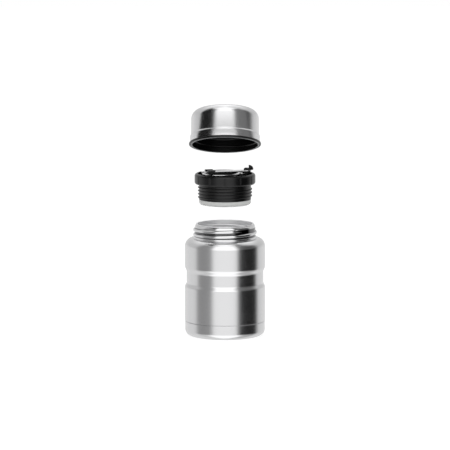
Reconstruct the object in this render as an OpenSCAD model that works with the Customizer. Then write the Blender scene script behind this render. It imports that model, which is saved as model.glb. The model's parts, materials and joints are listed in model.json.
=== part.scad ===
// Wide-mouth vacuum food jar: a double-walled steel jar, a screw stopper with a folding
// spoon stored in its top, and a steel lid that doubles as a bowl.
// Millimetres, +Z up, origin at the centre of the base. The stopper is drawn lifted out of
// the mouth, and the lid lifted off it and tipped to show its inside.

/* [Jar] */
// Diameter of the body
body_d = 94; // [76:0.5:115]
// Height from the base to the mouth
jar_h = 132; // [108:0.5:160]
// Diameter of the mouth's bore
mouth_d = 64.6; // [54:0.2:78]
// Depth of the waist band below the body's surface
waist_depth = 2.1; // [0:0.1:2.6]
// Height of the waist band's middle above the base
waist_z = 69.4; // [45:0.1:75]
// Height of the waist band's straight part
waist_h = 12.6; // [5:0.1:22]
// Height of each blend between the waist and the body
waist_blend = 6.2; // [3:0.1:8]
// Radius of the shoulder
shoulder_r = 10; // [6:0.5:12]
// Height of the neck above the shoulder
neck_h = 16.8; // [16:0.1:22]
// Wall of the pressed steel pieces
steel_t = 0.8; // [0.5:0.05:1]
// Vacuum gap between the body and the inner vessel
vacuum_gap = 3.8; // [3.2:0.1:6]
// Vacuum gap between the two walls of the neck
neck_gap = 1.7; // [1.2:0.1:3]

/* [Base] */
// Height of the base cap
cap_h = 17.5; // [14:0.5:24]
// How far the base cap lies inside the body's surface
cap_step = 0.3; // [0.2:0.1:1.5]
// Radius of the base cap's bottom corner
cap_corner_r = 7.5; // [4:0.5:9]
// Height of the inner vessel's floor above the base
floor_z = 17; // [16:0.5:30]

/* [Threads] */
// Pitch of the stopper's thread
stopper_pitch = 3.85; // [3.2:0.05:5]
// Pitch of the lid's thread
lid_pitch = 5.8; // [5.4:0.1:7]
// Depth of the rolled thread on the outside of the neck
neck_thread_depth = 1.8; // [1.2:0.1:2]
// Angle round from +X at which the lid's thread starts
neck_thread_start = 133; // [0:1:359]

/* [Stopper] */
// Height of the grip flange
flange_h = 12.5; // [8.7:0.1:16]
// Width of the flange's rim around the spoon tray
tray_rim = 3.6; // [3.4:0.1:6]
// Depth of the spoon tray
tray_depth = 8; // [7.6:0.1:8.6]
// Length of the threaded plug below the flange
plug_l = 18; // [16:0.5:22]
// Height of the silicone seal under the plug
seal_h = 6; // [5:0.25:8]
// Wall of the moulded pieces
plastic_t = 1.6; // [1.2:0.1:2.2]

/* [Spoon] */
// Angle of the stored spoon across the tray
spoon_yaw = 15; // [-30:1:30]
// Width of the spoon's bowl
bowl_w = 36; // [24:0.5:38]
// Length of the spoon's bowl
bowl_l = 46; // [38:0.5:48]
// Depth of the spoon's bowl
bowl_depth = 6; // [4.5:0.25:6.4]
// Width of the spoon's handle
handle_w = 10; // [8:0.25:12]
// Thickness of the spoon's handle and tang
handle_t = 1.2; // [1:0.1:1.6]
// Diameter of the pivot rivet
rivet_d = 3.2; // [2.4:0.1:4]

/* [Lid] */
// Room between the stopper's flange and the lid's ceiling
lid_headroom = 10.2; // [9.2:0.1:16]
// Radius of the lid's top edge
lid_top_r = 10.5; // [8.5:0.5:12]
// Height of the wider band at the lid's rim
band_h = 12; // [10:0.5:15]
// Height of the black rim below the lid's steel shell
rim_h = 2.4; // [2:0.1:3.5]

/* [Layout] */
// How far the stopper is lifted out of the mouth
stopper_lift = 46.7; // [42:0.05:70]
// How far the lid is tipped to show its inside, in degrees
lid_tip = 20.3; // [10:0.01:24]
// Distance from the jar's axis to the axis that the lid tips about
tip_r = 173; // [160:1:240]
// Height of that axis above the seated lid's rim
tip_z = 19; // [17:0.5:24]

/* [Hidden] */
$fn = 96;
arc_steps = 12;
turn_steps = 48;
run_out_steps = 5;

// Clearances: a sliding fit, a seal's fit, a running pivot, and pieces that nest in one body
slide_fit = 0.15;
seal_fit = 0.1;
pivot_fit = 0.05;
nest_fit = 0.2;
bead_gap = 0.3;

steel = [0.76, 0.76, 0.77];
polished = [0.82, 0.82, 0.83];
black = [0.07, 0.07, 0.075];
silicone = [0.88, 0.89, 0.88];
foam = [0.93, 0.92, 0.88];

// Jar
body_r = body_d / 2;
mouth_r = mouth_d / 2;
waist_r = body_r - waist_depth;
shoulder_z = jar_h - neck_h;
edge_r = 0.3;
neck_root_r = mouth_r + 2 * steel_t + neck_gap;
neck_crest_r = neck_root_r + neck_thread_depth;
neck_ring_r = neck_root_r + 1.3;
neck_ring_h = 1.9;
rim_r = mouth_r + 2 * steel_t + pivot_fit;
lip_r = rim_r + seal_fit;
taper_z = jar_h - 3;
shoulder_flat = body_r - shoulder_r;
shoulder_end = shoulder_flat >= neck_ring_r ? 90 : acos((neck_ring_r - shoulder_flat) / shoulder_r);
cavity_r = body_r - 2 * steel_t - vacuum_gap;
cavity_top_r = 9;
cavity_floor_r = 12;

// Base
cap_r = body_r - cap_step;
skirt_r = cap_r - steel_t - seal_fit;
skirt_z = 8;
joggle = 0.6;
foot_groove_r = 31;
foot_groove_w = 3;
foot_groove_depth = 0.5;
port_r = 1.5;
port_dish_r = 5;
bottom_rim_h = 5;

// Stopper, with the flange's underside at z = 0
thread_clear = 0.5;
thread_depth = 1.4;
plug_crest_r = mouth_r - thread_clear;
plug_r = plug_crest_r - thread_depth;
vessel_crest_r = plug_crest_r - 0.6;
vessel_thread_z = jar_h - plug_l + 3;
vessel_thread_turns = 2.4;
plug_thread_z = vessel_thread_z - jar_h - stopper_pitch / 2;
plug_thread_turns = (-plug_thread_z - 2.7) / stopper_pitch;
seal_r = mouth_r - 2;
seal_corner_r = seal_h / 2;
spigot_r = seal_r - 8.2;
base_disc_r = spigot_r + 3;
base_disc_h = 1.4;
spigot_l = seal_h - 2;
seat_r = seal_r - seal_corner_r / 2;
seal_end_z = jar_h - plug_l - seal_h;
cavity_z = seal_end_z - 2.5;
cavity_flat = cavity_r - cavity_top_r;
cavity_start = cavity_flat >= seat_r ? 90 : acos((seat_r - cavity_flat) / cavity_top_r);

// Lid, with its rim's underside at z = 0
lid_seat_z = shoulder_z + 0.8;
lid_wall_r = neck_crest_r + 0.8;
lid_crest_r = neck_crest_r - 0.4;
flange_r = lid_crest_r - 1.4;
lid_upper_r = flange_r + 1.6;
liner_t = 1.4;
ceiling_z = jar_h - lid_seat_z + flange_h + lid_headroom;
lid_foam_t = 0.8;
lid_h = ceiling_z + liner_t + lid_foam_t + steel_t;
liner_low_r = lid_wall_r + plastic_t;
liner_up_r = lid_upper_r + liner_t;
band_r = liner_low_r + nest_fit + steel_t;
wall_r = liner_up_r + nest_fit + steel_t;
rim_out_r = band_r + 1.3;
band_flare = 0.1;
neck_thread_z = shoulder_z + 3;
neck_ridge_w = lid_pitch - 1.3;
neck_crest_w = neck_ridge_w - 2.4;
neck_thread_turns = (taper_z - neck_thread_z - 2.1) / lid_pitch;
lid_thread_z = neck_thread_z - lid_seat_z + lid_pitch / 2;
lid_thread_turns = 1;
lid_seal_r = lid_wall_r + 0.5;
lid_seal_w = 1.4;
lid_seal_h = 1.4;
lid_seal_out = 0.3;

// Turns that the stopper and the lid have made since they were seated
stopper_turns = stopper_lift / stopper_pitch;
lid_turns = tip_r * lid_tip * PI / 180 / lid_pitch;

// Spoon, with the flange's top at z = 0
tray_r = flange_r - tray_rim;
pivot_x = tray_r - 6;
foot_r = 5;
foot_z = -4.5;
foot_top = 1.6;
handle_z = foot_top + nest_fit;
handle_end_x = 3.5 - tray_r;
bowl_x = pivot_x - bowl_l / 2 - 7.5;
bowl_z = -0.4;
tang_w = 7;
rivet_r = rivet_d / 2;
rivet_head_r = 2.4;
rivet_head_h = 0.7;
eye_r = handle_w / 2 + 0.8;
knob_z = handle_z + handle_t + seal_fit;
knob_w = 6.4;
knob_h = 5.6;
pad_h = 2;
fin_x = rivet_head_r + 0.3;
collar_l = 9;
collar_wall = 3;
collar_lip = 1.5;
collar_x = handle_end_x + 6;

function arc(centre, r, from, to) =
    [for (k = [0:arc_steps]) let (a = from + (to - from) * k / arc_steps) centre + r * [cos(a), sin(a)]];

function reversed(points) = [for (k = [len(points) - 1:-1:0]) points[k]];

// A soft step in radius from r0 to r1 as z goes from z0 to z1
function blend(r0, r1, z0, z1) =
    [for (k = [0:arc_steps]) let (t = k / arc_steps) [r0 + (r1 - r0) * (1 - cos(180 * t)) / 2, z0 + (z1 - z0) * t]];

module turned(points) rotate_extrude() polygon(points);

module turned_wall(outside, inside) turned(concat(outside, reversed(inside)));

// A screw thread's ridge, from its foot buried in the wall to its crest. It fades at both ends.
module thread(foot_r, crest_r, foot_w, crest_w, pitch, turns) {
    steps = ceil(turns * turn_steps);
    outward = crest_r > foot_r;
    function fade(k) = min(1, (k + 0.5) / run_out_steps, (steps - k + 0.5) / run_out_steps);
    function section(k) =
        let (r = foot_r + (crest_r - foot_r) * fade(k), low = [foot_r, -foot_w / 2], high = [foot_r, foot_w / 2])
        outward ? [low, [r, -crest_w / 2], [r, crest_w / 2], high]
                : [[r, -crest_w / 2], low, high, [r, crest_w / 2]];
    points = [for (k = [0:steps], p = section(k))
        let (a = 360 * turns * k / steps) [p.x * cos(a), p.x * sin(a), p.y + pitch * turns * k / steps]];
    sides = [for (k = [0:steps - 1], j = [0:3])
        let (a = 4 * k + j, b = 4 * k + (j + 1) % 4) each [[a, b, b + 4], [a, b + 4, a + 4]]];
    ends = [[3, 2, 1, 0], [for (j = [0:3]) 4 * steps + j]];
    polyhedron(points, concat(sides, ends));
}

module at_stopper() translate([0, 0, jar_h + stopper_lift]) children();

module at_spoon() at_stopper() translate([0, 0, flange_h]) rotate(spoon_yaw) children();

module at_lid()
    translate([0, tip_r, lid_seat_z + stopper_lift + tip_z]) rotate([-lid_tip, 0, 0])
        translate([0, -tip_r, -tip_z]) children();

// Jar

function shell_outline(i) = concat(
    [[skirt_r - i, skirt_z], [skirt_r - i, cap_h], [body_r - i, cap_h + joggle]],
    blend(body_r - i, waist_r - i, waist_z - waist_h / 2 - waist_blend, waist_z - waist_h / 2),
    blend(waist_r - i, body_r - i, waist_z + waist_h / 2, waist_z + waist_h / 2 + waist_blend),
    arc([shoulder_flat, shoulder_z - shoulder_r], shoulder_r - i, 0, shoulder_end),
    [[neck_ring_r - i, shoulder_z - i], [neck_ring_r - i, shoulder_z + neck_ring_h - i / 2]],
    [[neck_root_r - i, shoulder_z + neck_ring_h + 0.8 - i / 2], [neck_root_r - i, taper_z]],
    [[rim_r - i, jar_h - steel_t]]);

module outer_shell() color(steel) {
    turned_wall(shell_outline(0), shell_outline(steel_t));
    rotate(neck_thread_start) translate([0, 0, neck_thread_z])
        thread(neck_root_r - steel_t / 2, neck_crest_r, neck_ridge_w, neck_crest_w, lid_pitch, neck_thread_turns);
}

function vessel_outline(i) = concat(
    [[mouth_r + i, seal_end_z + 2.4 - i / 2], [seat_r + i, seal_end_z - i / 2], [seat_r + i, cavity_z + i]],
    arc([cavity_flat, cavity_z - cavity_top_r], cavity_top_r + i, cavity_start, 0),
    arc([cavity_r - cavity_floor_r, floor_z + cavity_floor_r], cavity_floor_r + i, 0, -90),
    [[0, floor_z - i]]);

module inner_vessel() color(polished) {
    turned(concat(
        [[lip_r - edge_r, jar_h], [mouth_r + edge_r, jar_h], [mouth_r, jar_h - edge_r]],
        vessel_outline(0), reversed(vessel_outline(steel_t)),
        [[mouth_r + steel_t, jar_h - steel_t], [lip_r, jar_h - steel_t], [lip_r, jar_h - edge_r]]));
    translate([0, 0, vessel_thread_z])
        thread(mouth_r + steel_t / 2, vessel_crest_r, 1.7, 0.7, stopper_pitch, vessel_thread_turns);
}

module outer_bottom() color(steel) {
    rim = skirt_r - steel_t;
    turned([
        [port_r, skirt_z + steel_t], [port_r, skirt_z + 2 * steel_t], [port_dish_r, skirt_z + steel_t],
        [rim - steel_t, skirt_z + steel_t], [rim - steel_t, skirt_z + bottom_rim_h],
        [rim, skirt_z + bottom_rim_h], [rim, skirt_z], [port_dish_r, skirt_z]]);
}

module vacuum_plug() color(steel) turned(concat(
    [[0, skirt_z + 2 * steel_t], [port_r, skirt_z + 2 * steel_t], [port_r, skirt_z + steel_t]],
    [[2 * port_r, skirt_z + steel_t * 0.45], [2 * port_r, skirt_z - 0.4], [0, skirt_z - 0.8]]));

module getter() color([0.55, 0.53, 0.5]) translate([0, 0, floor_z - steel_t - 2.5]) cylinder(r = 7, h = 2.5);

module radiation_foil() color([0.8, 0.55, 0.4]) {
    inside = cavity_r + steel_t;
    low = floor_z + cavity_floor_r;
    high = cavity_z - cavity_top_r;
    translate([0, 0, low]) difference() {
        cylinder(r = inside + 0.3, h = high - low);
        translate([0, 0, -1]) cylinder(r = inside, h = high - low + 2);
    }
}

module base_cap() color(steel) difference() {
    turned_wall(
        concat([[0, 0]], arc([cap_r - cap_corner_r, cap_corner_r], cap_corner_r, -90, 0), [[cap_r, cap_h - nest_fit]]),
        concat([[0, steel_t]], arc([cap_r - cap_corner_r, cap_corner_r], cap_corner_r - steel_t, -90, 0),
            [[cap_r - steel_t, cap_h - nest_fit]]));
    translate([0, 0, -1]) difference() {
        cylinder(r = foot_groove_r + foot_groove_w, h = 1 + foot_groove_depth);
        cylinder(r = foot_groove_r, h = 1 + foot_groove_depth);
    }
}

// Stopper

grip_grooves = 12;
grip_groove_r = 2.5;
grip_groove_depth = 0.3;
flange_edge_r = 3;
flange_foot_r = 2.5;
wall_slot = [4.6, 1.8, 3];
wall_slot_x = [-5.6, 4.8];

module stopper_top() at_stopper() color(black) {
    difference() {
        turned(concat(
            [[0, 0]], arc([flange_r - flange_foot_r, flange_foot_r], flange_foot_r, -90, 0),
            arc([flange_r - flange_edge_r, flange_h - flange_edge_r], flange_edge_r, 0, 90),
            [[tray_r + edge_r, flange_h], [tray_r, flange_h - edge_r], [tray_r, flange_h - tray_depth],
                [0, flange_h - tray_depth]]));
        for (k = [0:grip_grooves - 1]) rotate(k * 360 / grip_grooves)
            translate([flange_r + grip_groove_r - grip_groove_depth, 0, -1])
                cylinder(r = grip_groove_r, h = flange_h + 2);
        for (x = wall_slot_x) translate([x - wall_slot.x / 2, tray_r - wall_slot.z, flange_h - 4])
            cube([wall_slot.x, wall_slot.z + 1.2, wall_slot.y]);
    }
    // Posts that the spoon's foot and bowl rest on
    floor_top = flange_h - tray_depth;
    rotate(spoon_yaw) {
        translate([pivot_x, 0, floor_top - 0.4])
            cylinder(r = foot_r - 0.6, h = tray_depth + foot_z - bead_gap + 0.4);
        translate([bowl_x, 0, floor_top - 0.4])
            cylinder(r = 3.5, h = tray_depth + bowl_z - bowl_depth - bead_gap + 0.4);
    }
}

module stopper_plug() at_stopper() color(black) {
    turned([
        [plug_r - plastic_t, 0], [plug_r, 0], [plug_r, edge_r - plug_l], [plug_r - edge_r, -plug_l],
        [spigot_r, -plug_l], [spigot_r, -plug_l - spigot_l], [0, -plug_l - spigot_l],
        [0, plastic_t - plug_l], [plug_r - plastic_t, plastic_t - plug_l]]);
    rotate(360 * stopper_turns) translate([0, 0, plug_thread_z])
        thread(plug_r - 0.5, plug_crest_r, 2, 0.8, stopper_pitch, plug_thread_turns);
}

module stopper_foam() at_stopper() color(foam)
    translate([0, 0, plastic_t - plug_l]) cylinder(r = plug_r - plastic_t - nest_fit, h = plug_l - plastic_t);

module stopper_base() at_stopper() color(black) {
    top = -plug_l - spigot_l;
    turned([[0, top], [base_disc_r, top], [base_disc_r, top - base_disc_h + edge_r],
        [base_disc_r - edge_r, top - base_disc_h], [0, top - base_disc_h]]);
}

module stopper_seal() at_stopper() color(silicone) {
    top = -plug_l - seal_fit;
    low = -plug_l - seal_h;
    ledge = -plug_l - spigot_l + seal_fit;
    turned(concat(
        [[spigot_r + seal_fit, top], [seal_r, top]],
        arc([seal_r - seal_corner_r, low + seal_corner_r], seal_corner_r, 0, -90),
        [[base_disc_r + seal_fit, low], [base_disc_r + seal_fit, ledge], [spigot_r + seal_fit, ledge]]));
}

// Spoon

// The bowl is half a dish at each end of a trough of the same section
module spoon_bowl() at_spoon() color(polished) {
    half = bowl_w / 2;
    ball_r = (half * half + bowl_depth * bowl_depth) / (2 * bowl_depth);
    centre = [0, bowl_z - bowl_depth + ball_r];
    section = concat(
        arc(centre, ball_r, -90, asin((bowl_z - centre.y) / ball_r)),
        reversed(arc(centre, ball_r - 1, -90, asin((bowl_z - centre.y) / (ball_r - 1)))));
    trough = bowl_l - bowl_w;
    translate([bowl_x, 0, 0]) {
        for (side = [0, 180]) rotate(side) {
            translate([trough / 2, 0, 0]) rotate(-90) rotate_extrude(angle = 180) polygon(section);
            rotate([90, 0, 90]) linear_extrude(trough, center = true) polygon(section);
        }
    }
    tang_end = bowl_x + bowl_l / 2 - 1;
    translate([0, 0, bowl_z - handle_t]) linear_extrude(handle_t) difference() {
        union() {
            translate([tang_end, -tang_w / 2]) square([pivot_x - tang_end, tang_w]);
            translate([pivot_x, 0]) circle(tang_w / 2);
        }
        translate([pivot_x, 0]) circle(rivet_r);
    }
}

// The foot carries the tang in a slot and the handle on its top
module spoon_foot() at_spoon() color(black) translate([pivot_x, 0, 0]) difference() {
    translate([0, 0, foot_z]) turned([
        [rivet_r, 0], [foot_r - 1, 0], [foot_r, 1], [foot_r, foot_top - foot_z - 0.5],
        [foot_r - 0.5, foot_top - foot_z], [rivet_r, foot_top - foot_z]]);
    translate([0, 0, bowl_z - handle_t]) {
        translate([-foot_r - 1, -tang_w / 2, 0]) cube([foot_r + 1, tang_w, handle_t]);
        cylinder(r = tang_w / 2, h = handle_t);
    }
}

module spoon_rivet() at_spoon() color(polished) {
    head_z = knob_z + pad_h;
    translate([pivot_x, 0, 0]) turned([
        [0, foot_z], [rivet_r, foot_z], [rivet_r, head_z], [rivet_head_r, head_z],
        [rivet_head_r - 0.3, head_z + 0.4], [rivet_r, head_z + rivet_head_h], [0, head_z + rivet_head_h]]);
}

// A thumb knob: a pad under the rivet's head, and a fin beside it that falls away outwards
module spoon_knob() at_spoon() color(black) translate([pivot_x, 0, knob_z]) difference() {
    end_r = knob_w / 2;
    fin_end = fin_x + knob_h;
    intersection() {
        translate([0, end_r, 0]) rotate([90, 0, 0]) linear_extrude(knob_w) polygon(concat(
            [[-end_r, 0], [fin_end, 0]], arc([fin_x + 0.4, 0.4], knob_h - 0.4, 10, 90),
            [[fin_x, knob_h], [fin_x, pad_h], [-end_r, pad_h]]));
        linear_extrude(knob_h) {
            circle(end_r);
            translate([0, -end_r]) square([fin_end - end_r, knob_w]);
            translate([fin_end - end_r, 0]) circle(end_r);
        }
    }
    translate([0, 0, -1]) cylinder(r = rivet_r, h = knob_h + 4);
}

module spoon_handle() at_spoon() color(polished) translate([0, 0, handle_z]) linear_extrude(handle_t) difference() {
    union() {
        translate([pivot_x, 0]) circle(eye_r);
        translate([handle_end_x + handle_w / 2, -handle_w / 2])
            square([pivot_x - handle_end_x - handle_w / 2, handle_w]);
        translate([handle_end_x + handle_w / 2, 0]) circle(handle_w / 2);
    }
    translate([pivot_x, 0]) circle(rivet_r + pivot_fit);
}

// A sleeve on the handle, open on top, that slides to the pivot and locks the opened spoon
module spoon_collar() at_spoon() color(black) translate([collar_x, 0, handle_z]) {
    slot_w = handle_w + 2 * slide_fit;
    sleeve_w = slot_w + 2 * collar_wall;
    floor_t = 0.9;
    top = handle_t + slide_fit + 1.2;
    difference() {
        translate([0, -sleeve_w / 2, -slide_fit - floor_t]) cube([collar_l, sleeve_w, slide_fit + floor_t + top]);
        translate([-1, -slot_w / 2, -slide_fit]) cube([collar_l + 2, slot_w, handle_t + 2 * slide_fit]);
        translate([-1, collar_lip - handle_w / 2, 0]) cube([collar_l + 2, handle_w - 2 * collar_lip, top + 1]);
    }
}

// Lid

function lid_outline(i) = concat(
    [[band_r + band_flare - i, rim_h], [band_r - i, band_h - 1.4]],
    blend(band_r - i, wall_r + 0.2 - i, band_h - 1.2, band_h),
    arc([wall_r - lid_top_r, lid_h - lid_top_r], lid_top_r - i, 0, 90),
    [[0, lid_h - i]]);

module lid_shell() at_lid() color(steel) turned_wall(lid_outline(0), lid_outline(steel_t));

liner_top_r = lid_top_r - steel_t - nest_fit - liner_t;

module lid_liner() at_lid() color(black) {
    groove = [lid_seal_r - seal_fit, lid_seal_r + lid_seal_w + seal_fit];
    groove_z = lid_seal_h - lid_seal_out + seal_fit;
    turned(concat(
        [[groove[1], 0], [rim_out_r - edge_r, 0], [rim_out_r, edge_r], [rim_out_r, rim_h]],
        [[liner_low_r, rim_h], [liner_low_r, band_h - 2.4], [liner_up_r, band_h + 0.4]],
        arc([liner_up_r - liner_top_r - liner_t, ceiling_z - liner_top_r], liner_top_r + liner_t, 0, 90),
        [[0, ceiling_z + liner_t], [0, ceiling_z]],
        arc([lid_upper_r - liner_top_r, ceiling_z - liner_top_r], liner_top_r, 90, 0),
        [[lid_upper_r, band_h + 4], [lid_wall_r, band_h + 3], [lid_wall_r, 0], [groove[0], 0]],
        [[groove[0], groove_z], [groove[1], groove_z]]));
    rotate(neck_thread_start + 360 * lid_turns) translate([0, 0, lid_thread_z])
        thread(lid_wall_r + plastic_t / 2, lid_crest_r, 3, 1, lid_pitch, lid_thread_turns);
}

module lid_foam() at_lid() color(foam)
    translate([0, 0, ceiling_z + liner_t]) cylinder(r = wall_r - lid_top_r, h = lid_foam_t);

module lid_seal() at_lid() color([0.55, 0.56, 0.57]) translate([0, 0, -lid_seal_out]) difference() {
    cylinder(r = lid_seal_r + lid_seal_w, h = lid_seal_h);
    translate([0, 0, -1]) cylinder(r = lid_seal_r, h = lid_seal_h + 2);
}

outer_shell();
inner_vessel();
outer_bottom();
vacuum_plug();
getter();
radiation_foil();
base_cap();
stopper_top();
stopper_plug();
stopper_foam();
stopper_base();
stopper_seal();
spoon_bowl();
spoon_foot();
spoon_rivet();
spoon_knob();
spoon_handle();
spoon_collar();
lid_shell();
lid_liner();
lid_foam();
lid_seal();
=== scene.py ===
"""Vacuum food jar, shown with its stopper and lid lifted off: looks, studio and camera."""
import json
from math import cos, hypot, pi, radians, sin, tau

import bmesh
import bpy
from mathutils import Matrix, Vector


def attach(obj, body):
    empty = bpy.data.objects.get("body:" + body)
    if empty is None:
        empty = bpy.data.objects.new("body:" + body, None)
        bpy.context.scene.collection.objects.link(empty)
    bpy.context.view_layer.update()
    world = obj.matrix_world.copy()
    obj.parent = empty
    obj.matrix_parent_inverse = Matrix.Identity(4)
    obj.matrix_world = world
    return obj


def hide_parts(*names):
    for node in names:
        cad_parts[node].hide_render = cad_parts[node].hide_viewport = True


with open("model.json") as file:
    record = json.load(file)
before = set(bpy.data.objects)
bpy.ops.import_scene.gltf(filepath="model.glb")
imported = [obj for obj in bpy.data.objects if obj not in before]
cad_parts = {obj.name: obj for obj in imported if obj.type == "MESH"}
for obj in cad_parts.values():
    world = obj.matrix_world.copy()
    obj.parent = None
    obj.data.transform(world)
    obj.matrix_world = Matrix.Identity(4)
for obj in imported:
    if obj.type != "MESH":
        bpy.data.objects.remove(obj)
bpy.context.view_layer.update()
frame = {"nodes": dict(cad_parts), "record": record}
nodes = frame["nodes"]
BODY_OF = {name: body for body, names in frame["record"]["behaviour"]["bodies"].items() for name in names}
MM = 0.001

# The CAD's sizes in millimetres, and where it places the lifted pieces
JAR_H = 132
LID_SEAT = 116
FLANGE_H = 12.5
STOPPER_LIFT = 46.7
STOPPER_PITCH = 3.85
LID_PITCH = 5.8
LID_THREAD_START = radians(133)
LID_TIP = radians(20.3)
TIP_R = 173
TIP_Z = 19
SPOON_YAW = radians(15)
STOPPER_Z = JAR_H + STOPPER_LIFT
SPOON_Z = STOPPER_Z + FLANGE_H
STOPPER_TURNED = tau * STOPPER_LIFT / STOPPER_PITCH
LID_TURNED = LID_THREAD_START + tau * TIP_R * LID_TIP / LID_PITCH
JAR_PLACE = Matrix.Identity(4)
STOPPER_PLACE = Matrix.Translation((0, 0, STOPPER_Z * MM))
SPOON_PLACE = Matrix.Translation((0, 0, SPOON_Z * MM)) @ Matrix.Rotation(SPOON_YAW, 4, "Z")
LID_PLACE = (Matrix.Translation((0, TIP_R * MM, (LID_SEAT + STOPPER_LIFT + TIP_Z) * MM))
             @ Matrix.Rotation(-LID_TIP, 4, "X") @ Matrix.Translation((0, -TIP_R * MM, -TIP_Z * MM)))


# Materials

STEEL = "#dadadb"
# Darker steel colour painted into the neck's grooves as shade
PAINTED_GROOVE_SHADE = "#6c6c6d"
MARKS_DEPTH = 0.06


def linear(hex_colour):
    """An sRGB hex colour as linear RGBA."""
    channels = [int(hex_colour[i:i + 2], 16) / 255 for i in (1, 3, 5)]
    return [c / 12.92 if c <= 0.04045 else ((c + 0.055) / 1.055) ** 2.4 for c in channels] + [1.0]


def node(tree, kind, settings=None, **inputs):
    """Adds a node: settings are its properties, inputs its sockets' values or the sockets they link from.
    A socket goes by its name, or by an underscore and its number where it shares its name with others."""
    made = tree.nodes.new(kind)
    for name, value in (settings or {}).items():
        setattr(made, name, value)
    for name, value in inputs.items():
        socket = made.inputs[int(name[1:])] if name[0] == "_" else made.inputs[name.replace("_", " ")]
        if isinstance(value, bpy.types.NodeSocket):
            tree.links.new(value, socket)
        else:
            socket.default_value = value
    return made


def new_material(name, hex_colour, **sockets):
    """A material with its shader's plain sockets set, its node tree and its Object coordinates."""
    material = bpy.data.materials.new(name)
    material.use_nodes = True
    tree = material.node_tree
    shader = tree.nodes["Principled BSDF"]
    shader.inputs["Base Color"].default_value = linear(hex_colour)
    for socket, value in sockets.items():
        shader.inputs[socket.replace("_", " ")].default_value = value
    return material, tree, shader, node(tree, "ShaderNodeTexCoord").outputs["Object"]


def brushed_steel(name, tilt=0.0):
    """Stainless sheet spun against an abrasive belt: fine rings around its axis blur what it reflects."""
    material, tree, shader, place = new_material(name, STEEL, Metallic=1.0)
    turned_place = node(tree, "ShaderNodeMapping", Vector=place, Rotation=(tilt, 0, 0)).outputs[0]
    # Belt marks are about 0.05 mm apart: drawn 0.5 mm apart so that they show, and long around the axis
    stretched = node(tree, "ShaderNodeMapping", Vector=turned_place, Scale=(6, 6, 2000)).outputs[0]
    marks = node(tree, "ShaderNodeTexNoise", Vector=stretched, Scale=1.0, Detail=4.0).outputs[0]
    # Handling leaves soft patches about 25 mm across
    patches = node(tree, "ShaderNodeTexNoise", Vector=place, Scale=40.0, Detail=2.0).outputs[0]
    rough = node(tree, "ShaderNodeMapRange", Value=marks, To_Min=0.2, To_Max=0.3).outputs[0]
    patched = node(tree, "ShaderNodeMapRange", Value=patches, To_Min=0.94, To_Max=1.06).outputs[0]
    worn = node(tree, "ShaderNodeMath", {"operation": "MULTIPLY"}, _0=rough, _1=patched).outputs[0]
    tree.links.new(worn, shader.inputs["Roughness"])
    bump = node(tree, "ShaderNodeBump", Strength=MARKS_DEPTH, Distance=0.0002, Height=marks)
    tree.links.new(bump.outputs[0], shader.inputs["Normal"])
    return material, tree, shader, place, worn, bump


def brushed_steel_with_bright_neck_and_groove_shade(name):
    """Brushed stainless below 116.5 mm, and above it a rolled and polished neck, with painted shade in its
    grooves.
    """
    material, tree, shader, place, worn, bump = brushed_steel(name)
    height = node(tree, "ShaderNodeSeparateXYZ", Vector=place).outputs["Z"]
    neck = node(tree, "ShaderNodeMapRange", Value=height, From_Min=0.1165, From_Max=0.118).outputs[0]
    finish = node(tree, "ShaderNodeMapRange", Value=neck, To_Min=worn, To_Max=0.1).outputs[0]
    tree.links.new(finish, shader.inputs["Roughness"])
    marked = node(tree, "ShaderNodeMapRange", Value=neck, To_Min=MARKS_DEPTH, To_Max=0.0).outputs[0]
    tree.links.new(marked, bump.inputs["Strength"])
    # Painted shade: inside a radius of 36.3 mm the rolled grooves get a darker steel colour, standing in for
    # the shade between the ridges
    level_place = node(tree, "ShaderNodeVectorMath", {"operation": "MULTIPLY"}, _0=place, _1=(1, 1, 0))
    radius = node(tree, "ShaderNodeVectorMath", {"operation": "LENGTH"}, _0=level_place.outputs[0])
    deep_shade_mask = node(tree, "ShaderNodeMapRange", Value=radius.outputs["Value"], From_Min=0.036, From_Max=0.0367,
                To_Min=neck, To_Max=0.0).outputs[0]
    groove_shade_mask = node(tree, "ShaderNodeMapRange", Value=height, From_Min=0.1275, From_Max=0.1285,
                  To_Min=deep_shade_mask, To_Max=0.0).outputs[0]
    # Mixes the painted groove shade into the base colour
    steel_with_groove_shade = node(tree, "ShaderNodeMix", {"data_type": "RGBA"}, Factor=groove_shade_mask,
                _6=linear(STEEL), _7=linear(PAINTED_GROOVE_SHADE))
    tree.links.new(steel_with_groove_shade.outputs[2], shader.inputs["Base Color"])
    return material


def polished_steel(name, smooth, rough):
    """Electropolished stainless: bright, with a faint ripple about 6 mm across left by forming."""
    material, tree, shader, place = new_material(name, "#e3e3e4", Metallic=1.0)
    ripple = node(tree, "ShaderNodeTexNoise", Vector=place, Scale=160.0, Detail=2.0).outputs[0]
    finish = node(tree, "ShaderNodeMapRange", Value=ripple, To_Min=smooth, To_Max=rough)
    tree.links.new(finish.outputs[0], shader.inputs["Roughness"])
    bump = node(tree, "ShaderNodeBump", Strength=0.05, Distance=0.0002, Height=ripple)
    tree.links.new(bump.outputs[0], shader.inputs["Normal"])
    return material


def black_polypropylene(name, hex_colour, smooth, rough, sheen_level):
    """Moulded black polypropylene: a sheen that a spark-eroded grain of about 0.4 mm breaks up."""
    material, tree, shader, place = new_material(name, hex_colour, IOR=1.49, Specular_IOR_Level=sheen_level)
    grain = node(tree, "ShaderNodeTexNoise", Vector=place, Scale=2500.0, Detail=2.0).outputs[0]
    bump = node(tree, "ShaderNodeBump", Strength=0.1, Distance=0.0001, Height=grain)
    tree.links.new(bump.outputs[0], shader.inputs["Normal"])
    sheen = node(tree, "ShaderNodeMapRange", Value=grain, To_Min=smooth, To_Max=rough)
    tree.links.new(sheen.outputs[0], shader.inputs["Roughness"])
    return material


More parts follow.
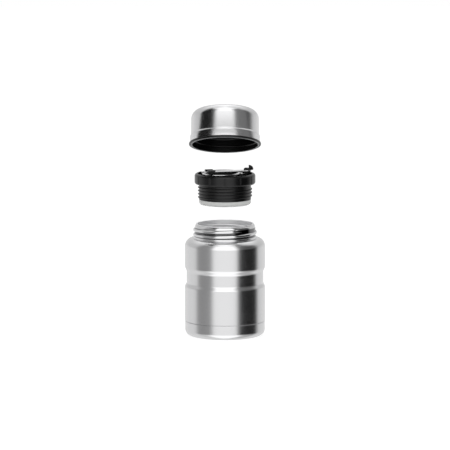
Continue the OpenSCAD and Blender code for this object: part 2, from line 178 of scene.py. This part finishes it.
def silicone(name, hex_colour, depth):
    """Moulded silicone rubber: a soft sheen, light a little way in, and a dusty bloom 3 mm across."""
    material, tree, shader, place = new_material(name, hex_colour, IOR=1.41, Subsurface_Weight=depth,
                                                 Subsurface_Radius=(0.003, 0.003, 0.003))
    bloom = node(tree, "ShaderNodeTexNoise", Vector=place, Scale=300.0, Detail=3.0)
    rough = node(tree, "ShaderNodeMapRange", Value=bloom.outputs[0], To_Min=0.32, To_Max=0.5)
    tree.links.new(rough.outputs[0], shader.inputs["Roughness"])
    return material


def grained(name, dark, light, grain_mm, **sockets):
    """A hidden piece's plain material: two close tones in grains of one size, rougher where it is darker."""
    material, tree, shader, place = new_material(name, light, **sockets)
    grain = node(tree, "ShaderNodeTexNoise", Vector=place, Scale=1 / (grain_mm * MM), Detail=3.0).outputs[0]
    tones = node(tree, "ShaderNodeMix", {"data_type": "RGBA"}, Factor=grain,
                 _6=linear(dark), _7=linear(light))
    tree.links.new(tones.outputs[2], shader.inputs["Base Color"])
    rough = node(tree, "ShaderNodeMapRange", Value=grain, To_Min=0.6, To_Max=0.4)
    tree.links.new(rough.outputs[0], shader.inputs["Roughness"])
    return material


body_steel = brushed_steel_with_bright_neck_and_groove_shade("brushed_steel_body_with_groove_shade")
base_steel = brushed_steel("brushed_steel_base")[0]
lid_steel = brushed_steel("brushed_steel_lid", LID_TIP)[0]
bright_steel = polished_steel("polished_steel", 0.08, 0.17)
satin_steel = polished_steel("satin_polished_steel", 0.4, 0.5)
satin_black = black_polypropylene("satin_black_polypropylene", "#0d0d0e", 0.22, 0.34, 0.4)
matt_black = black_polypropylene("matt_black_polypropylene", "#070708", 0.3, 0.42, 0.45)
clear_silicone = silicone("translucent_silicone", "#f4f5f3", 0.5)
grey_silicone = silicone("grey_silicone", "#b9bcbe", 0.1)

CAD_FINISHES = {
    base_steel: ["outer_bottom"],
    bright_steel: ["spoon_rivet"],
    satin_black: ["stopper_top", "spoon_foot"],
    matt_black: ["stopper_base"],
    grained("polyurethane_foam", "#d9d2bd", "#ece7d8", 0.6): ["stopper_foam", "lid_foam"],
    grained("copper_foil", "#b5714a", "#d79a72", 4.0, Metallic=1.0): ["radiation_foil"],
    grained("sintered_getter", "#77726b", "#8d8780", 0.3): ["getter"],
    grained("tin_solder", "#a3a3a4", "#bcbcbe", 0.8, Metallic=1.0): ["vacuum_plug"],
}
for material, names in CAD_FINISHES.items():
    for name in names:
        nodes[name].data.materials.clear()
        nodes[name].data.materials.append(material)


# Shapes, in millimetres in each group's own place

SHEET = 0.8
ROUND_STEPS = 192
THREAD_STEPS_A_TURN = 144
THREAD_RUN_OUT_TURNS = 0.09
SHARP = radians(40)
CLOSE = 1e-5
MERGED = 1e-6


def bevel(bm, edges, rounding, segments):
    """Rounds some of a mesh's edges."""
    bmesh.ops.bevel(bm, geom=edges, offset=rounding * MM, offset_type="OFFSET", affect="EDGES",
                    segments=segments, profile=0.5, material=-1)


def round_ring(bm, radius, height, rounding):
    """Rounds the corner that runs round the axis at one radius and height."""
    circle = {vert for vert in bm.verts if abs(vert.co.z - height * MM) < CLOSE
              and abs(hypot(vert.co.x, vert.co.y) - radius * MM) < CLOSE}
    ring = [edge for edge in bm.edges if all(vert in circle for vert in edge.verts)]
    bevel(bm, ring, rounding, 3 if rounding < 1 else 8 if rounding < 4 else 16)


def round_edges(bm, rounding):
    """Rounds every sharp edge."""
    bevel(bm, [edge for edge in bm.edges if edge.calc_face_angle(0) > SHARP], rounding, 3)


def turned(outline, closed=False, wall=0, inside=False):
    """Spins an outline of (radius, height, rounding) about the axis and rounds the corners that ask for it.
    A wall is sheet of that thickness behind the outline, which faces inwards if inside is set."""
    bm = bmesh.new()
    corners = [bm.verts.new((point[0] * MM, 0, point[1] * MM)) for point in outline]
    for start, end in zip(corners, corners[1:] + corners[:1] if closed else corners[1:]):
        bm.edges.new((start, end))
    bmesh.ops.spin(bm, geom=bm.verts[:] + bm.edges[:], cent=(0, 0, 0), axis=(0, 0, 1), angle=tau,
                   steps=ROUND_STEPS, use_merge=True)
    bmesh.ops.remove_doubles(bm, verts=bm.verts, dist=MERGED)
    for radius, height, rounding in (point for point in outline if len(point) == 3):
        round_ring(bm, radius, height, rounding)
    bmesh.ops.recalc_face_normals(bm, faces=bm.faces)
    if wall:
        level = Vector((1, 1, 0))
        outward = sum(face.normal.dot(face.calc_center_median() * level) for face in bm.faces) > 0
        if outward == inside:
            bmesh.ops.reverse_faces(bm, faces=bm.faces)
        bmesh.ops.solidify(bm, geom=bm.faces[:], thickness=wall * MM)
    return bm


def to_mesh(name, bm):
    """Ends the shaping of a mesh."""
    mesh = bpy.data.meshes.new(name)
    bm.to_mesh(mesh)
    bm.free()
    return mesh


def join(bm, other):
    """Adds another mesh to bm as a part of the same piece."""
    mesh = to_mesh("joined", other)
    bm.from_mesh(mesh)
    bpy.data.meshes.remove(mesh)


def add_thread(bm, section, start_z, pitch, turns, turned_by=0):
    """Sweeps a ridge's section of (radius, height) round a helix, and fades it into the wall at both ends."""
    steps = round(turns * THREAD_STEPS_A_TURN)
    ridge = bmesh.new()
    corners = [ridge.verts.new((radius * MM, 0, (start_z + height) * MM)) for radius, height in section]
    loop = [ridge.edges.new(pair) for pair in zip(corners, corners[1:] + corners[:1])]
    bmesh.ops.spin(ridge, geom=corners + loop, cent=(0, 0, 0), axis=(0, 0, 1), angle=tau * turns,
                   steps=steps, dvec=(0, 0, pitch * turns / steps * MM))
    foot = section[0][0] * MM
    for place, vert in enumerate(ridge.verts):
        done = place // len(section) / steps
        fade = min(1, done * turns / THREAD_RUN_OUT_TURNS, (1 - done) * turns / THREAD_RUN_OUT_TURNS)
        radius = vert.co.xy.length
        kept = (foot + (radius - foot) * fade * fade * (3 - 2 * fade)) / radius
        bmesh.ops.scale(ridge, vec=(kept, kept, 1), verts=[vert])
    bmesh.ops.holes_fill(ridge, edges=[edge for edge in ridge.edges if edge.is_boundary], sides=0)
    bmesh.ops.recalc_face_normals(ridge, faces=ridge.faces)
    bmesh.ops.rotate(ridge, verts=ridge.verts, cent=(0, 0, 0), matrix=Matrix.Rotation(turned_by, 3, "Z"))
    join(bm, ridge)


def mirrored(half):
    """A ridge's section from half of it: the same points above as below."""
    return half + [(radius, -height) for radius, height in reversed(half)]


def block(low, high, corner):
    """A block between two corners, with its upright edges rounded."""
    bm = bmesh.new()
    low, high = Vector(low) * MM, Vector(high) * MM
    size = high - low
    place = Matrix.Translation((low + high) / 2) @ Matrix.Diagonal((*size, 1))
    bmesh.ops.create_cube(bm, size=1, matrix=place)
    upright = [edge for edge in bm.edges if abs((edge.verts[0].co - edge.verts[1].co).z) > size.z / 2]
    bevel(bm, upright, corner, 12)
    return bm


def prism(outline, start, end):
    """Draws an outline of (y, z) out along x."""
    bm = bmesh.new()
    face = bm.faces.new([bm.verts.new((start * MM, y * MM, z * MM)) for y, z in outline])
    made = bmesh.ops.extrude_face_region(bm, geom=[face])["geom"]
    moved = [item for item in made if isinstance(item, bmesh.types.BMVert)]
    bmesh.ops.translate(bm, vec=((end - start) * MM, 0, 0), verts=moved)
    bmesh.ops.recalc_face_normals(bm, faces=bm.faces)
    return bm


def new_object(name, data):
    """An object in the scene."""
    made = bpy.data.objects.new(name, data)
    bpy.context.scene.collection.objects.link(made)
    return made


def piece(name, bm, replaced, material, place):
    """Finishes a mesh as the piece that is seen for a CAD node."""
    bmesh.ops.transform(bm, matrix=place, verts=bm.verts)
    mesh = to_mesh(name, bm)
    mesh.shade_smooth()
    mesh.materials.append(material)
    made = new_object(name, mesh)
    made.modifiers.new("even_normals", "WEIGHTED_NORMAL")
    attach(made, BODY_OF[replaced])
    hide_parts(replaced)


# Jar

shell = turned([
    (45.8, 8), (45.8, 17.5, 0.1), (47, 17.85, 0.15), (47, 58.4, 0.8), (44.9, 62.3, 0.8), (44.9, 76.4, 1.4),
    (47, 80.8, 1.4), (47, 115.2, 9.7), (36.9, 115.2, 0.3), (36.9, 117.1, 0.5), (35.6, 117.9, 0.35),
    (35.6, 129, 1.5), (33.95, 131.2)], wall=SHEET)
neck_ridge = mirrored([
    (35.2, -2.25), (35.65, -2.1), (36.0, -1.85), (36.7, -1.45), (37.15, -1.15), (37.4, -0.6)])
add_thread(shell, neck_ridge, 118.2, LID_PITCH, 8.7 / LID_PITCH, LID_THREAD_START)
piece("jar_shell", shell, "outer_shell", body_steel, JAR_PLACE)

vessel = turned([
    (34.05, 131.2), (34.05, 132, 0.35), (32.3, 132, 0.6), (32.3, 110.4, 0.6), (28.8, 108, 0.5),
    (28.8, 105.5, 0.4), (41.6, 105.5, 9), (41.6, 17, 12), (0, 17)], wall=SHEET, inside=True)
mouth_ridge = mirrored([(32.6, -0.95), (32.2, -0.8), (31.5, -0.45), (31.22, -0.2)])
add_thread(vessel, mouth_ridge, 117, STOPPER_PITCH, 2.4)
piece("jar_vessel", vessel, "inner_vessel", satin_steel, JAR_PLACE)

cap = turned([
    (0, 0), (31, 0, 0.2), (31, 0.5, 0.2), (34, 0.5, 0.2), (34, 0, 0.2), (46.7, 0, 7.5), (46.7, 17.3)],
    wall=SHEET)
round_ring(cap, 46.7, 17.3, 0.6)
piece("jar_base_cap", cap, "base_cap", base_steel, JAR_PLACE)


# Stopper

plug = turned([
    (0, -22), (22.1, -22), (22.1, -18), (30.4, -18, 0.5), (30.4, 0), (28.8, 0), (28.8, -16.4), (0, -16.4)])
plug_ridge = mirrored([(30.1, -1.05), (30.45, -0.9), (31.3, -0.55), (31.75, -0.25)])
add_thread(plug, plug_ridge, -16.925, STOPPER_PITCH, 14.225 / STOPPER_PITCH, STOPPER_TURNED)
piece("plug_threaded", plug, "stopper_plug", matt_black, STOPPER_PLACE)

seal = turned([
    (22.2, -18.1), (30.3, -18.1, 0.4), (30.3, -24, 3), (25.2, -24, 0.3), (25.2, -21.9), (22.2, -21.9)],
    closed=True)
piece("plug_seal", seal, "stopper_seal", clear_silicone, STOPPER_PLACE)


# Spoon

BOWL_X = -4.5
BOWL_Z = -0.4
BOWL_DEPTH = 6
BOWL_HALF_W = 18
BOWL_HALF_L = 23
BOWL_SHEET = 0.9
PIVOT_X = 26
HANDLE_HALF_W = 5
EYE_WIDENED = 1.16


def spoon_bowl():
    """A slice of a ball, drawn out along the spoon, with a flat tang towards the pivot."""
    ball_r = (BOWL_HALF_W ** 2 + BOWL_DEPTH ** 2) / (2 * BOWL_DEPTH)
    bm = bmesh.new()
    bmesh.ops.create_uvsphere(bm, u_segments=96, v_segments=96, radius=ball_r * MM,
                              matrix=Matrix.Translation((0, 0, (ball_r - BOWL_DEPTH) * MM)))
    bmesh.ops.bisect_plane(bm, geom=bm.verts[:] + bm.edges[:] + bm.faces[:], plane_co=(0, 0, 0),
                           plane_no=(0, 0, 1), clear_outer=True)
    bmesh.ops.solidify(bm, geom=bm.faces[:], thickness=BOWL_SHEET * MM)
    round_edges(bm, 0.3)
    bmesh.ops.scale(bm, vec=(BOWL_HALF_L / BOWL_HALF_W, 1, 1), verts=bm.verts)
    bmesh.ops.translate(bm, vec=Vector((BOWL_X, 0, BOWL_Z)) * MM, verts=bm.verts)
    tang = block((17, -3.5, BOWL_Z - 1.2), (PIVOT_X + 3.5, 3.5, BOWL_Z), 3.4)
    round_edges(tang, 0.25)
    join(bm, tang)
    return bm


def spoon_handle():
    """A flat strip with a round end, widened to an eye about the pivot."""
    bm = block((-28.5, -HANDLE_HALF_W, 1.8), (PIVOT_X + HANDLE_HALF_W, HANDLE_HALF_W, 3),
               HANDLE_HALF_W - 0.02)
    bmesh.ops.bisect_plane(bm, geom=bm.verts[:] + bm.edges[:] + bm.faces[:],
                           plane_co=((PIVOT_X - HANDLE_HALF_W) * MM, 0, 0), plane_no=(1, 0, 0))
    eye = [vert for vert in bm.verts if vert.co.x > (PIVOT_X - 1) * MM]
    bmesh.ops.scale(bm, vec=(EYE_WIDENED, EYE_WIDENED, 1), verts=eye,
                    space=Matrix.Translation((-PIVOT_X * MM, 0, 0)))
    round_edges(bm, 0.3)
    return bm


def spoon_collar():
    """A sleeve around the strip, open along its top."""
    half = [(8.15, 0.75), (8.15, 4.35), (3.5, 4.35), (3.5, 3.15), (5.15, 3.15), (5.15, 1.65)]
    bm = prism(half + [(-y, z) for y, z in reversed(half)], -22.5, -13.5)
    round_edges(bm, 0.35)
    return bm


def spoon_knob():
    """A thumb knob lofted upwards: a pad under the rivet's head, and a fin that slopes away beside it."""
    bm = bmesh.new()
    bmesh.ops.create_circle(bm, segments=48, radius=1, cap_ends=False)
    # Middle in x, half length, half width and height of each level
    levels = [
        (2.55, 5.7, 3.15, 0), (2.55, 5.75, 3.2, 0.3), (2.55, 5.75, 3.2, 1.7), (2.6, 5.6, 3.1, 2),
        (5.4, 2.75, 2.8, 2.05), (5.2, 2.5, 2.75, 3.2), (4.65, 1.95, 2.6, 4.4), (4.05, 1.35, 2.4, 5.2),
        (3.5, 0.7, 2, 5.6)]
    ring = bm.edges[:]
    before = None
    for middle, half_l, half_w, height in levels:
        if before:
            made = bmesh.ops.extrude_edge_only(bm, edges=ring)["geom"]
            ring = [item for item in made if isinstance(item, bmesh.types.BMEdge)
                    and all(vert in made for vert in item.verts)]
        verts = list({vert for edge in ring for vert in edge.verts})
        scale = (half_l / before[1], half_w / before[2], 1) if before else (half_l * MM, half_w * MM, 1)
        old_x, old_z = (before[0], before[3]) if before else (0, 0)
        bmesh.ops.scale(bm, vec=scale, verts=verts, space=Matrix.Translation((-old_x * MM, 0, 0)))
        bmesh.ops.translate(bm, vec=((middle - old_x) * MM, 0, (height - old_z) * MM), verts=verts)
        before = (middle, half_l, half_w, height)
    bmesh.ops.holes_fill(bm, edges=[edge for edge in bm.edges if edge.is_boundary], sides=0)
    bmesh.ops.recalc_face_normals(bm, faces=bm.faces)
    bmesh.ops.translate(bm, vec=Vector((PIVOT_X, 0, 3.1)) * MM, verts=bm.verts)
    return bm


piece("spoon_bowl_pressed", spoon_bowl(), "spoon_bowl", bright_steel, SPOON_PLACE)
piece("spoon_strip", spoon_handle(), "spoon_handle", bright_steel, SPOON_PLACE)
piece("spoon_sleeve", spoon_collar(), "spoon_collar", satin_black, SPOON_PLACE)
piece("spoon_thumb_knob", spoon_knob(), "spoon_knob", satin_black, SPOON_PLACE)


# Lid

lid = turned([(40.9, 2.4), (40.8, 10.6, 0.6), (39.8, 12, 0.6), (39.6, 41.7, 10.5), (0, 41.7)], wall=SHEET)
piece("lid_bowl", lid, "lid_shell", lid_steel, LID_PLACE)

liner = turned([
    (0, 40.1), (38.6, 40.1, 9.5), (38.6, 12.4, 0.5), (39.8, 9.6, 0.5), (39.8, 2.4), (42.1, 2.4, 0.8),
    (42.1, 0, 0.8), (40.2, 0, 0.2), (40.2, 1.2), (38.6, 1.2), (38.6, 0, 0.15), (38.2, 0, 0.15),
    (38.2, 15, 0.4), (37.2, 16, 0.4), (37.2, 38.7, 8.1), (0, 38.7)])
lid_ridge = mirrored([(39, -1.5), (38.4, -1.3), (37.4, -0.8), (37, -0.4)])
add_thread(liner, lid_ridge, 5.1, LID_PITCH, 1, LID_TURNED)
piece("lid_lining", liner, "lid_liner", matt_black, LID_PLACE)

lip = turned([(38.7, -0.3, 0.45), (40.1, -0.3, 0.45), (40.1, 1.1), (38.7, 1.1)], closed=True)
piece("lid_lip", lip, "lid_seal", grey_silicone, LID_PLACE)


# Studio

WHITE = (1, 1, 1, 1)


def studio_world():
    """White to the camera, and softboxes with dark gaps between them in the reflections."""
    world = bpy.data.worlds.new("studio")
    bpy.context.scene.world = world
    world.use_nodes = True
    tree = world.node_tree
    tree.nodes.clear()
    direction = node(tree, "ShaderNodeTexCoord").outputs["Generated"]
    split = node(tree, "ShaderNodeSeparateXYZ", Vector=direction)
    front = node(tree, "ShaderNodeMath", {"operation": "MULTIPLY"}, _0=split.outputs["Y"], _1=-1.0).outputs[0]
    azimuth = node(tree, "ShaderNodeMath", {"operation": "ARCTAN2"}, _0=split.outputs["X"], _1=front)
    turn = node(tree, "ShaderNodeMapRange", Value=azimuth.outputs[0], From_Min=-pi, From_Max=pi)

    # Each zone holds brightness against the angle round from the camera, in degrees and right positive.
    # It takes over from the zone before it between two heights of the direction.
    ground = [(-180, 0.9), (-97, 0.9), (-81, 0.75), (-57, 0.8), (-45, 1.5), (45, 1.5), (57, 0.6), (97, 0.5),
              (115, 0.9), (180, 0.9)]
    middle = [(-180, 0.9), (-97, 0.87), (-81, 0.32), (-43, 0.32), (-31, 1.07), (31, 1.07), (43, 0), (97, 0),
              (115, 0.85), (180, 0.9)]
    upper = [(-180, 0.75), (-97, 0.68), (-81, 0.32), (-43, 0.32), (-31, 1.6), (31, 1.6), (43, 0.1), (97, 0.1),
             (115, 0.7), (180, 0.75)]
    overhead = [(-180, 1.5), (-165, 1.5), (-140, 1.0), (-105, 0.8), (-80, 0.3), (-44, 0.3), (-34, 1.6),
                (34, 1.6), (44, 0.15), (80, 0.15), (105, 0.8), (140, 1.0), (165, 1.5), (180, 1.5)]
    zenith = [(-180, 1.5), (-140, 1.0), (-90, 0.9), (-50, 1.6), (50, 1.6), (90, 0.9), (140, 1.0), (180, 1.5)]
    zones = [(ground, -2, -1), (middle, -0.5, -0.3), (upper, 0, 0.12), (overhead, 0.55, 0.7),
             (zenith, 0.8, 0.9)]
    sky = (0, 0, 0, 1)
    for stops, start, end in zones:
        ramp = node(tree, "ShaderNodeValToRGB", Fac=turn.outputs[0])
        ramp.color_ramp.interpolation = "EASE"
        elements = ramp.color_ramp.elements
        elements.remove(elements[-1])
        for angle, level in stops:
            element = elements[0] if angle == -180 else elements.new(angle / 360 + 0.5)
            element.position = angle / 360 + 0.5
            element.color = (level, level, level, 1)
        rise = node(tree, "ShaderNodeMapRange", Value=split.outputs["Z"], From_Min=start, From_Max=end)
        sky = node(tree, "ShaderNodeMix", {"data_type": "RGBA"}, Factor=rise.outputs[0], _6=sky,
                   _7=ramp.outputs[0]).outputs[2]
    softboxes = node(tree, "ShaderNodeBackground", Color=sky, Strength=1.0).outputs[0]
    plain = node(tree, "ShaderNodeBackground", Color=WHITE, Strength=0.6).outputs[0]
    white = node(tree, "ShaderNodeBackground", Color=WHITE, Strength=1.0).outputs[0]
    path = node(tree, "ShaderNodeLightPath").outputs
    lit = node(tree, "ShaderNodeMixShader", _0=path["Is Glossy Ray"], _1=plain, _2=softboxes).outputs[0]
    seen = node(tree, "ShaderNodeMixShader", _0=path["Is Camera Ray"], _1=lit, _2=white).outputs[0]
    node(tree, "ShaderNodeOutputWorld", Surface=seen)


def bare_material(name):
    """A material with nothing in its node tree."""
    material = bpy.data.materials.new(name)
    material.use_nodes = True
    material.node_tree.nodes.clear()
    return material, material.node_tree


def staged_plane(name, material, place, size_x, size_y):
    """A flat rectangle that isn't part of the object."""
    bm = bmesh.new()
    bmesh.ops.create_grid(bm, x_segments=1, y_segments=1, size=0.5)
    bmesh.ops.transform(bm, matrix=place @ Matrix.Diagonal((size_x, size_y, 1, 1)), verts=bm.verts)
    mesh = to_mesh(name, bm)
    mesh.materials.append(material)
    plane = new_object(name, mesh)
    return plane


def card(name, place, size, level):
    """A card that is seen only in reflections, darker or lighter than the softboxes there."""
    material, tree = bare_material(name)
    grey = node(tree, "ShaderNodeEmission", Color=WHITE, Strength=level)
    node(tree, "ShaderNodeOutputMaterial", Surface=grey.outputs[0])
    plane = staged_plane(name, material, place, *size)
    plane.visible_camera = False
    plane.visible_diffuse = False
    plane.visible_transmission = False
    plane.visible_shadow = False


def pale_floor():
    """A pale sweep that is white to the camera but for the jar's soft shadow.
    The steel reflects the softboxes past it."""
    material, tree = bare_material("pale_floor")
    matt = node(tree, "ShaderNodeBsdfDiffuse", Color=(0.5, 0.5, 0.5, 1)).outputs[0]
    glow = node(tree, "ShaderNodeEmission", Color=WHITE, Strength=0.75).outputs[0]
    both = node(tree, "ShaderNodeAddShader", _0=matt, _1=glow).outputs[0]
    path = node(tree, "ShaderNodeLightPath").outputs
    seen = node(tree, "ShaderNodeMixShader", _0=path["Is Camera Ray"], _1=matt, _2=both)
    node(tree, "ShaderNodeOutputMaterial", Surface=seen.outputs[0])
    floor = staged_plane("floor", material, Matrix.Identity(4), 8, 8)
    floor.visible_glossy = False


def aimed(place, target):
    """The place of a lamp or a camera that points at a target."""
    turn = (Vector(target) - Vector(place)).to_track_quat("-Z", "Y")
    return Matrix.Translation(place) @ turn.to_matrix().to_4x4()


def area_light(name, place, target, size, power):
    """A softbox that lights the object and the floor, and isn't seen in reflections."""
    lamp = bpy.data.lights.new(name, "AREA")
    lamp.shape = "RECTANGLE"
    lamp.size, lamp.size_y = size
    lamp.energy = power
    lamp_object = new_object(name, lamp)
    lamp_object.visible_glossy = False
    lamp_object.matrix_world = aimed(place, target)


def camera():
    """Looks along +Y from 8 degrees above through a long lens, at about 1.17 mm to a pixel."""
    distance = 5.88
    lift = radians(8)
    centre = Vector((0, 0, 0.130))
    lens = bpy.data.cameras.new("camera")
    lens.lens = 402
    lens.sensor_width = 36
    camera_object = new_object("camera", lens)
    camera_object.matrix_world = aimed(centre + distance * Vector((0, -cos(lift), sin(lift))), centre)
    bpy.context.scene.camera = camera_object


studio_world()
pale_floor()
FACING_X = Matrix.Rotation(pi / 2, 4, "Y")
FACING_Y = Matrix.Rotation(pi / 2, 4, "X")
card("left_flag", Matrix.Translation((-0.07, -0.046, 0.285)) @ FACING_X, (0.16, 0.076), 0.0)
card("right_flag", Matrix.Translation((0.07, -0.056, 0.285)) @ FACING_X, (0.16, 0.07), 0.2)
card("front_card", Matrix.Translation((0, -0.13, 0.311)) @ FACING_Y, (0.26, 0.046), 0.76)
card("mouth_reflector", Matrix.Translation((0, 0, 0.144)), (0.052, 0.052), 1.6)
area_light("overhead", (0, -0.55, 1.15), (0, 0, 0.16), (0.7, 0.5), 3.5)
camera()
bpy.context.scene.view_settings.view_transform = "Standard"
